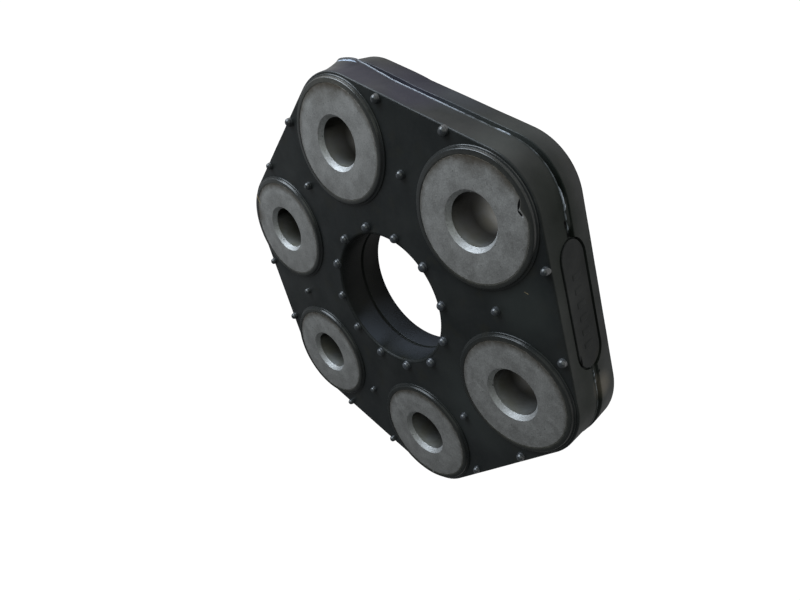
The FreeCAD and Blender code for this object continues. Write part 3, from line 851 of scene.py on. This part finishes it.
def swelling(bearing, z):
    """How far the rear wall stands out beside the ear, and the filled groove at the panel."""
    if z < GROOVE_LOW:
        return 0.35 * hump(bearing, -9.0, 13.0)
    if GROOVE_LOW < z < LIP_LOW:
        return sum(hump(bearing, centre, half_width) * height for centre, half_width, height in FILLED)
    return 0.0


print("the ear stands out up to", max(run[3] for run in EAR_RUNS), "mm")

# %% Tear the lip
# Scraps of flash; the first stands out nowhere and only paints a highlight along one side of the lip.
SCRAPS_AND_HIGHLIGHTS = [
    (-20.0, 22.0, 0.0, 0.95),
    (-49.3, 1.9, 0.15, 0.9),
    (-67.2, 2.3, 0.35, 1.0),
    (-68.9, 0.7, 0.30, 1.0),
    (-70.9, 0.6, 0.2, 0.5),
    (-73.0, 0.5, 0.15, 0.5),
    (-107.6, 0.6, 0.1, 0.7),
    (-109.4, 0.5, 0.1, 0.6),
]
EAR_RIDGE = 1.35
EAR_PALENESS = 0.05


def tear(place, bearing):
    """How far a point of the lip stands out, and how pale it is painted: torn rubber and painted
    highlight.
    """
    at_tip = place.z < LIP_TIP
    root = 1.0 if at_tip else 0.45
    fine = noise.noise(Vector((place.x, place.y, 0)) * 1.3)
    coarse = noise.noise(Vector((place.x, place.y, 0)) / 2.5)
    stand = 0.05 * fine + 0.07 * coarse if at_tip else 0.0
    # The lip's edge is pale all along: torn rubber and a painted highlight.
    pale = 0.12 + 0.35 * coarse
    for centre, half_width, height, paleness in SCRAPS_AND_HIGHLIGHTS:
        share = hump(bearing, centre, half_width)
        stand += root * share * height * (0.95 + 0.1 * fine)
        pale = max(pale, share * paleness)
    return stand, max(0.0, min(1.0, pale)) if at_tip else 0.0


torn_layer = block.verts.layers.float.new("torn")
for vert in block.verts:
    place = vert.co.copy()
    bearing = math.degrees(math.atan2(place.y, place.x))
    wave = 0.05 * noise.noise(place / 9) if REAR_FACE + 0.2 < place.z < FRONT_FACE - 0.1 else 0
    if LIP_LOW < place.z < LIP_HIGH:
        stand, vert[torn_layer] = tear(place, bearing)
        wave += stand
    if LIP_LOW < place.z < EAR_TOP:
        stand = ear(bearing, place.z)
        wave += stand
        if stand > EAR_RIDGE:
            vert[torn_layer] = EAR_PALENESS
    wave += swelling(bearing, place.z)
    if 8.5 < place.z < 9.3:
        vert.co.z += 0.45 * hump(bearing, -12.0, 20.0)
    vert.co += outward_from(place) * wave
print("lip torn in", len(SCRAPS_AND_HIGHLIGHTS), "places")

# %% [markdown]
# ## The centre hole and the rooms for the bushes
# The centre hole narrows towards the mould seam, where a fine groove runs round it. The mould's
# core stood a quarter of a millimetre off the middle, so the hole does too. The six rooms for
# the bushes are plain walls that the collars cover. When all walls stand, each flat face is
# filled in between them. Filling with triangles is right here because the face has seven
# holes, and flat shading keeps those triangles invisible.

# %% Turn the holes and fill the faces
HOLE_FOOT = Vector((0, -0.25, 0))
HOLE_CORNERS = [
    (22.9, FRONT_FACE, 0),
    (21.88, FRONT_FACE, 0.8),
    (21.74, 11.05, 0.08),
    (22.45, 10.85, 0.05),
    (22.40, 10.05, 0.05),
    (21.70, 9.85, 0.08),
    (22.45, REAR_FACE, 0.4),
    (23.2, REAR_FACE, 0),
]
ROOM_CORNERS = [
    (17.9, FRONT_FACE, 0),
    (17.6, FRONT_FACE, 0),
    (17.6, REAR_FACE, 0),
    (17.9, REAR_FACE, 0),
]

hole = bmesh.new()
turn_on_lathe(hole, soften(HOLE_CORNERS), HOLE_FOOT, steps=160)
add_shape(block, hole)
rooms = bmesh.new()
turn_on_lathe(rooms, soften(ROOM_CORNERS), BUSH_AXES[0], steps=96)
repeat_round(rooms, MIDDLE, UP, BUSHES)
add_shape(block, rooms)
for level in (FRONT_FACE, REAR_FACE):
    rims = [
        edge
        for edge in block.edges
        if edge.is_boundary and all(abs(vert.co.z - level) < 0.01 for vert in edge.verts)
    ]
    bmesh.ops.triangle_fill(block, edges=rims, use_beauty=True)
close_seams(block)
open_edges = [edge for edge in block.edges if not edge.is_manifold]
print("faces filled,", len(open_edges), "open edges left")

# %% [markdown]
# ## The groove round the marking panel
# One side of the rim carries an oblong panel in a narrow moat. The moat is cut with an oblong
# cutter, because it crosses the mould seam and its groove, and no profile could follow that.
# The cutter is a profile too, run round the two ends of the oblong. The cut smears the torn
# attribute over the new faces, so it is cleared again everywhere but on the lip.

# %% Oblong helpers
PANEL_SPAN = 12.2
PANEL_MIDDLE = Vector((-0.8, -APOTHEM, 10.7))
SIDE_OUT = Vector((0, -1, 0))
PANEL_CENTRES = [
    PANEL_MIDDLE - Vector((PANEL_SPAN, 0, 0)),
    PANEL_MIDDLE + Vector((PANEL_SPAN, 0, 0)),
]


def run_oblong(bm, points):
    """Runs a profile (radius, depth) round the oblong and closes it with flat faces."""
    rib = draw_rib(bm, points, PANEL_CENTRES[0], UP, SIDE_OUT)
    run_round(bm, rib, PANEL_CENTRES, SIDE_OUT, arc_steps=24, side_steps=24)
    bmesh.ops.remove_doubles(bm, verts=bm.verts, dist=MERGE_GAP)
    bmesh.ops.holes_fill(bm, edges=[edge for edge in bm.edges if edge.is_boundary], sides=0)
    bmesh.ops.recalc_face_normals(bm, faces=bm.faces)


def carve(bm, cutter):
    """The first shape with the second one cut out of it."""
    objects = []
    for name, shape in (("carved", bm), ("cutter", cutter)):
        mesh = bpy.data.meshes.new(name)
        shape.to_mesh(mesh)
        shape.free()
        objects.append(bpy.data.objects.new(name, mesh))
        bpy.context.scene.collection.objects.link(objects[-1])
    cut = objects[0].modifiers.new("cut", "BOOLEAN")
    cut.operation = "DIFFERENCE"
    cut.solver = "EXACT"
    cut.object = objects[1]
    graph = bpy.context.evaluated_depsgraph_get()
    result = bmesh.new()
    result.from_object(objects[0], graph)
    for item in objects:
        mesh = item.data
        bpy.data.objects.remove(item)
        bpy.data.meshes.remove(mesh)
    return result


print("the oblong is", 2 * PANEL_SPAN, "mm from centre to centre")

# %% Cut the moat
PANEL_RADIUS = 4.9
MOAT_WIDTH = 0.42
MOAT_FLOOR = 19.0
MOAT_FLARE = 0.15
SEAM_HEIGHT = 10.8

cutter = bmesh.new()
moat_radius = PANEL_RADIUS + MOAT_WIDTH
run_oblong(cutter, soften([(moat_radius, MOAT_FLOOR, 0), (moat_radius + MOAT_FLARE, 22, 0)]))
block = carve(block, cutter)
torn_layer = block.verts.layers.float["torn"]
for vert in block.verts:
    if abs(vert.co.z - SEAM_HEIGHT) > 0.4 and vert.co.x < PITCH:
        vert[torn_layer] = 0.0
open_edges = [edge for edge in block.edges if not edge.is_manifold]
print("moat cut,", len(open_edges), "open edges")

# %% Finish the block
SKIN, SMOOTH, MATT = range(3)
HOLE_RIM = 23.1
HOLE_WALL_LOW = 2.5
HOLE_WALL_HIGH = 19.1
BIG_TRIANGLE = 0.4

mark_edges(block)
for face in block.faces:
    face.material_index = SKIN
    if abs(face.normal.z) > 0.99999 and face.calc_area() > BIG_TRIANGLE:
        face.smooth = False
    middle = face.calc_center_median()
    in_groove = 9.9 < middle.z < 11.0
    if math.hypot(middle.x, middle.y) < HOLE_RIM and middle.z > HOLE_WALL_LOW and not in_groove:
        face.material_index = SMOOTH if middle.z < HOLE_WALL_HIGH else MATT
block_finishes = [rubber, collar_rubber, panel_rubber]
finish_piece("rubber_block", block, block_finishes, ["rubber_body"])

# %% [markdown]
# ## The marking panel
# The panel is a shallow island in the moat, where a mould takes its marking insert. It carries
# plain raised bars, thin blocks with rounded edges that sink into the panel.

# %% Raise the panel
PANEL_FACE = 20.05
PANEL_SHIFT = Vector((0.15, 0, 0.18))
BAR_COUNT = 6
BAR_SPACING = 3.7
BAR_SIZE = (2.2, 1.6, 4.0)
BAR_ROUNDING = 0.6
BAR_SINK = 0.65
BAR_ROW_SHIFT = -1.5
PANEL_CORNERS = [
    (4.3, PANEL_FACE, 0),
    (PANEL_RADIUS, PANEL_FACE, 0.25),
    (PANEL_RADIUS + 0.08, 18.4, 0),
]

panel = bmesh.new()
run_oblong(panel, soften(PANEL_CORNERS))
for i in range(BAR_COUNT):
    bar = bmesh.ops.create_cube(panel, size=1)["verts"]
    along = (i - (BAR_COUNT - 1) / 2) * BAR_SPACING + BAR_ROW_SHIFT
    shift = Vector((along, -PANEL_FACE + BAR_SINK, 0))
    bmesh.ops.scale(panel, vec=BAR_SIZE, verts=bar)
    bmesh.ops.translate(panel, vec=PANEL_MIDDLE + shift, verts=bar)
    bar_edges = {edge for vert in bar for edge in vert.link_edges}
    bmesh.ops.bevel(
        panel,
        geom=list(bar_edges),
        offset=BAR_ROUNDING,
        affect="EDGES",
        segments=4,
        profile=0.5,
        material=-1,
    )
bmesh.ops.recalc_face_normals(panel, faces=panel.faces)
bmesh.ops.translate(panel, vec=PANEL_SHIFT, verts=panel.verts)
mark_edges(panel)
finish_piece("marking_panel", panel, [panel_rubber], ["rubber_body"])

# %% [markdown]
# ## Stepped collars
# Round each bush the rubber rises in two steps to the steel face and lines the room of the
# bush inside. Front collar, lining and rear collar are one ring of rubber, so they are one
# closed profile on the lathe. Inside, a thin film of rubber creeps a little over the steel,
# and its edge is uneven. On one bush a torn tag of that film is left. An attribute named film
# says how much of that dusty film lies on the collar's top. On the bush nearest the cool
# window the film is painted heavier on the side that faces it, as painted light.

# %% Turn the collars
LINING_LOW = 3.0
LINING_HIGH = 18.0
COLLAR_CORNERS = [
    (18.2, 18.2, 0),
    (19.05, 18.2, 0),
    (18.93, 20.22, 0.24),
    (18.42, 20.36, 0.06),
    (18.16, 21.00, 0.32),
    (17.1, 21.07, 0.3),
    (16.82, 20.99, 0),
    (DISC_RADIUS, 20.9, 0),
    (DISC_RADIUS, LINING_HIGH, 0),
    (SLEEVE_RADIUS, LINING_HIGH, 0),
    (SLEEVE_RADIUS, LINING_LOW, 0),
    (DISC_RADIUS, LINING_LOW, 0),
    (DISC_RADIUS, 0.06, 0),
    (18.4, 0.0, 0.28),
    (18.4, 0.88, 0.10),
    (19.0, 0.9, 0.22),
    (19.0, 2.8, 0),
    (18.2, 2.8, 0),
]

collars = bmesh.new()
turn_on_lathe(
    collars, soften(COLLAR_CORNERS, closed=True), BUSH_AXES[0], steps=160, closed=True
)
repeat_round(collars, MIDDLE, UP, BUSHES)
print(BUSHES, "collars turned with", len(collars.verts), "points")

# %% Let the film creep over the steel
FILM_LOW = 20.30
FILM_TOP = 20.95
FILM_EDGE = 17.2
TAG_START, TAG_PEAK, TAG_END = -89, -81, -72
TAG_REACH = 1.2


def film_and_light_cover(flat, arm):
    """How much film lies at a point of a collar, from 0 to 1, with painted light on one side of one
    bush; arm is its way from the bush.
    """
    cover = (18.6 - arm.length) / 5.5 + max(0.0, FILM_EDGE - arm.length) * 1.5
    # Painted light: more film on the side of the bush nearest the cool window that faces it.
    if flat.x > PITCH:
        cover += 0.55 * max(0.0, arm.normalized().dot(compass(-10))) ** 4
    thin_side = max(0.0, arm.normalized().dot(compass(75))) ** 2
    return max(0.0, min(1.0, cover)) * (1 - 0.8 * thin_side)


def film_creep(place, flat, arm):
    """How far the film's inner edge creeps over the steel, with the torn tag on one bush."""
    creep = 0.16 * noise.noise(place / 2.2) + 0.12 * noise.noise(place / 0.8)
    bearing = math.degrees(math.atan2(arm.y, arm.x))
    if flat.x > 0 and flat.y < -30 and TAG_START < bearing < TAG_END:
        if bearing > TAG_PEAK:
            creep += TAG_REACH * (TAG_END - bearing) / (TAG_END - TAG_PEAK)
        else:
            creep += TAG_REACH * (bearing - TAG_START) / (TAG_PEAK - TAG_START)
    return max(0.0, creep)


film_layer = collars.verts.layers.float.new("film")
for vert in collars.verts:
    if vert.co.z < FILM_LOW:
        continue
    flat = Vector((vert.co.x, vert.co.y, 0))
    arm = min((flat - bush for bush in BUSH_AXES), key=lambda step: step.length)
    vert[film_layer] = film_and_light_cover(flat, arm)
    if vert.co.z >= FILM_TOP and arm.length <= FILM_EDGE:
        vert.co -= arm.normalized() * film_creep(vert.co, flat, arm)
close_seams(collars)
mark_edges(collars)
finish_piece("bush_collars", collars, [collar_rubber], ["rubber_body"])

# %% [markdown]
# ## Vent pips
# While the rubber was pressed in, air left the mould through small holes, and rubber followed
# it. Each hole has left a blunt pip. No two are quite alike, so each one is made a little
# thicker or thinner, taller or shorter, and leans its own way. Those round the centre hole are
# full, and the others get slimmer towards one side. A fixed seed gives the same pips each time.

# %% Place the pips
RING_PIPS = 12
RING_REACH = 23.75
RING_MIDDLE = HOLE_FOOT * 1.6
RING_STRAYS = {3: Vector((0.6, -0.6, 0)), 10: Vector((0, -0.4, 0))}
SIDE_PIPS = [
    [(61.2, -12.3), (44.0, 0.3), (61.7, 12.2)],
    [(61.6, -11.6), (44.5, 0.1), (61.2, 11.5)],
    [(61.7, -11.5), (44.8, -0.4), (61.7, 12.1)],
    [(62.0, -11.9), (44.7, -0.3), (61.4, 11.8)],
    [(61.7, -11.7), (44.6, -1.0), (61.8, 11.5)],
    [(61.2, -11.9), (43.7, -0.8), (61.0, 11.5)],
]

pip_places = []
for i in range(RING_PIPS):
    step = compass(-90 + 360 / RING_PIPS * i) * RING_REACH
    pip_places.append(step + RING_MIDDLE + RING_STRAYS.get(i, MIDDLE))
for k, row in enumerate(SIDE_PIPS):
    side = compass(-90 + 60 * k)
    pip_places += [side * out + UP.cross(side) * along for out, along in row]
print(len(pip_places), "pips placed")

# %% Grow the pips
PIP_CORNERS = [
    (0, 19.5, 0),
    (1.46, 19.5, 0),
    (1.44, 20.1, 0.2),
    (1.34, 20.35, 0.2),
    (1.38, 21.46, 1.05),
    (0, 21.52, 0),
]
PIP_GIRTHS = (0.92, 1.10)
PIP_HEIGHTS = (0.85, 1.08)
PIP_LEAN = 7
RING_FULLNESS = 1.04
SIDE_FULLNESS = 0.86
SIDE_SLIMMING = 0.0012

chance = random.Random(7)
foot = Matrix.Translation((0, 0, FRONT_FACE))
pips = bmesh.new()
for i, place in enumerate(pip_places):
    pip = bmesh.new()
    turn_on_lathe(pip, soften(PIP_CORNERS), MIDDLE, steps=20)
    fullness = RING_FULLNESS if i < RING_PIPS else SIDE_FULLNESS + SIDE_SLIMMING * place.x
    girth = chance.uniform(*PIP_GIRTHS) * fullness
    height = chance.uniform(*PIP_HEIGHTS)
    lean_angle = math.radians(chance.uniform(0, PIP_LEAN))
    lean = Matrix.Rotation(lean_angle, 4, compass(chance.uniform(0, 360)))
    swell = Matrix.Diagonal((girth, girth, height, 1))
    shift = Matrix.Translation(place)
    bmesh.ops.transform(pip, matrix=shift @ foot @ lean @ swell @ foot.inverted(), verts=pip.verts)
    add_shape(pips, pip)
close_seams(pips)
mark_edges(pips)
finish_piece("vent_pips", pips, [pip_rubber], ["rubber_body"])

# %% [markdown]
# ## Steel discs and sleeves
# A disc is turned on a lathe: a flat face, a bolt hole with a countersunk mouth, and inside a
# seat for the sleeve. The discs at the rear are the same, upside down. One function makes
# both from one profile. Each face gets the finish of the cut that made it.

# %% Disc helpers
MOUTH_RADIUS = 8.3
MOUTH_DEPTH = 1.5
SEAT_DEPTH = 2.2
DISC_THICKNESS = 3.0
DISC_CORNERS = [
    (BORE_RADIUS, -MOUTH_DEPTH, 0.08),
    (BORE_RADIUS, -SEAT_DEPTH, 0),
    (SLEEVE_RADIUS, -SEAT_DEPTH, 0),
    (SLEEVE_RADIUS, -DISC_THICKNESS, 0),
    (DISC_RADIUS, -DISC_THICKNESS, 0.1),
    (DISC_RADIUS, 0, 0.15),
    (MOUTH_RADIUS, 0, 0.07),
]
BUSH_STEPS = 96
BLASTED, TURNED, BORE_CUT = range(3)


def choose_cut(face, bush):
    """The finish of a disc's face: its bore, its countersunk mouth or its blasted rest."""
    middle = face.calc_center_median()
    reach = (Vector((middle.x, middle.y, 0)) - bush).length
    depth = min(middle.z, TOP - middle.z)
    if reach < BORE_RADIUS + 0.02:
        return BORE_CUT
    if reach < MOUTH_RADIUS - 0.01 and depth < MOUTH_DEPTH + 0.02:
        return TURNED
    return BLASTED


def turn_steel(points, bush):
    """A closed steel ring about a bush axis; each point carries its place from that axis."""
    ring = bmesh.new()
    turn_on_lathe(ring, points, bush, BUSH_STEPS, closed=True)
    close_seams(ring)
    mark_edges(ring)
    own_layer = ring.verts.layers.float_vector.new("own")
    for vert in ring.verts:
        vert[own_layer] = Vector((vert.co.x, vert.co.y, 0)) - bush
    return ring


print("bolt holes of", 2 * BORE_RADIUS, "mm open to", 2 * MOUTH_RADIUS, "mm")

# %% Turn the discs


def make_disc(name, node, bush, at_front):
    """One steel disc, at the front or upside down at the rear."""
    level = TOP if at_front else 0
    turn = 1 if at_front else -1
    points = [(reach, level + turn * height) for reach, height in soften(DISC_CORNERS, closed=True)]
    disc = turn_steel(points, bush)
    for face in disc.faces:
        face.material_index = choose_cut(face, bush)
    finish_piece(name, disc, [blasted, turned, bore_steel], [node])


for k, bush in enumerate(BUSH_AXES, start=1):
    make_disc("steel_disc_front_%d" % k, "front_disc_%d" % k, bush, at_front=True)
    make_disc("steel_disc_rear_%d" % k, "rear_disc_%d" % k, bush, at_front=False)

# %% Turn the sleeves
SLEEVE_CORNERS = [
    (BORE_RADIUS, SEAT_DEPTH, 0),
    (SLEEVE_RADIUS, SEAT_DEPTH, 0.2),
    (SLEEVE_RADIUS, TOP - SEAT_DEPTH, 0.2),
    (BORE_RADIUS, TOP - SEAT_DEPTH, 0),
]

for k, bush in enumerate(BUSH_AXES, start=1):
    sleeve = turn_steel(soften(SLEEVE_CORNERS, closed=True), bush)
    finish_piece("steel_sleeve_%d" % k, sleeve, [bore_steel], ["sleeve_%d" % k])

# %% [markdown]
# ## Cords inside the rubber
# The pull from one bush to the next is carried by endless cords that are wound round the two
# sleeves, layer on layer, before the rubber is moulded round them. Nobody sees them from
# outside, but a cut through the part would show them. Each turn of cord is one ring section
# run round two bush axes, so all cords of a pack come from the same two helpers.

# %% Cord finish
CORD_CREAM = (0.52, 0.44, 0.30, 1)
CORD_BROWN = (0.24, 0.17, 0.10, 1)

twisted, tree, shader, where = new_finish("twisted_cord", 0.0, 0.8)
twist = {"Vector": where, "Scale": 900.0, "Distortion": 2.0}
strand = put(tree, "TexWave", twist, bands_direction="DIAGONAL").outputs["Fac"]
tree.links.new(paint(tree, strand, CORD_BROWN, CORD_CREAM), shader.inputs["Base Color"])
relief(tree, shader, strand, 0.1)
print("finish", twisted.name)

# %% Wind the cords
CORD_INNER = 10.65
CORD_RADIUS = 0.66
CORD_SIDES = 6
CORD_COLUMNS = 3
CORD_LAYERS = 4
PACK_WIDTH = 4.0
PACK_HEIGHT = 5.5
REAR_PACK, FRONT_PACK = 4.25, 11.25


def wind_pack(first, second, base):
    """All turns of cord round two neighbouring bushes, from a base height upwards."""
    pack = bmesh.new()
    start = (first - second).normalized().cross(UP)
    ring = [compass(360 / CORD_SIDES * i + 30) * CORD_RADIUS for i in range(CORD_SIDES)]
    for column in range(CORD_COLUMNS):
        for layer in range(CORD_LAYERS):
            reach = CORD_INNER + PACK_WIDTH / CORD_COLUMNS * (column + 0.5)
            height = base + PACK_HEIGHT / CORD_LAYERS * (layer + 0.5)
            points = [(reach + corner.x, height + corner.y) for corner in ring]
            turn = bmesh.new()
            rib = draw_rib(turn, points, first, start, closed=True)
            run_round(turn, rib, [first, second], UP, arc_steps=14, side_steps=1)
            add_shape(pack, turn)
    close_seams(pack)
    return pack


for k in range(1, BUSHES + 1):
    base = FRONT_PACK if k % 2 else REAR_PACK
    pack = wind_pack(BUSH_AXES[k - 1], BUSH_AXES[k % BUSHES], base)
    mark_edges(pack)
    finish_piece("cords_%d" % k, pack, [twisted], ["cord_pack_%d" % k])
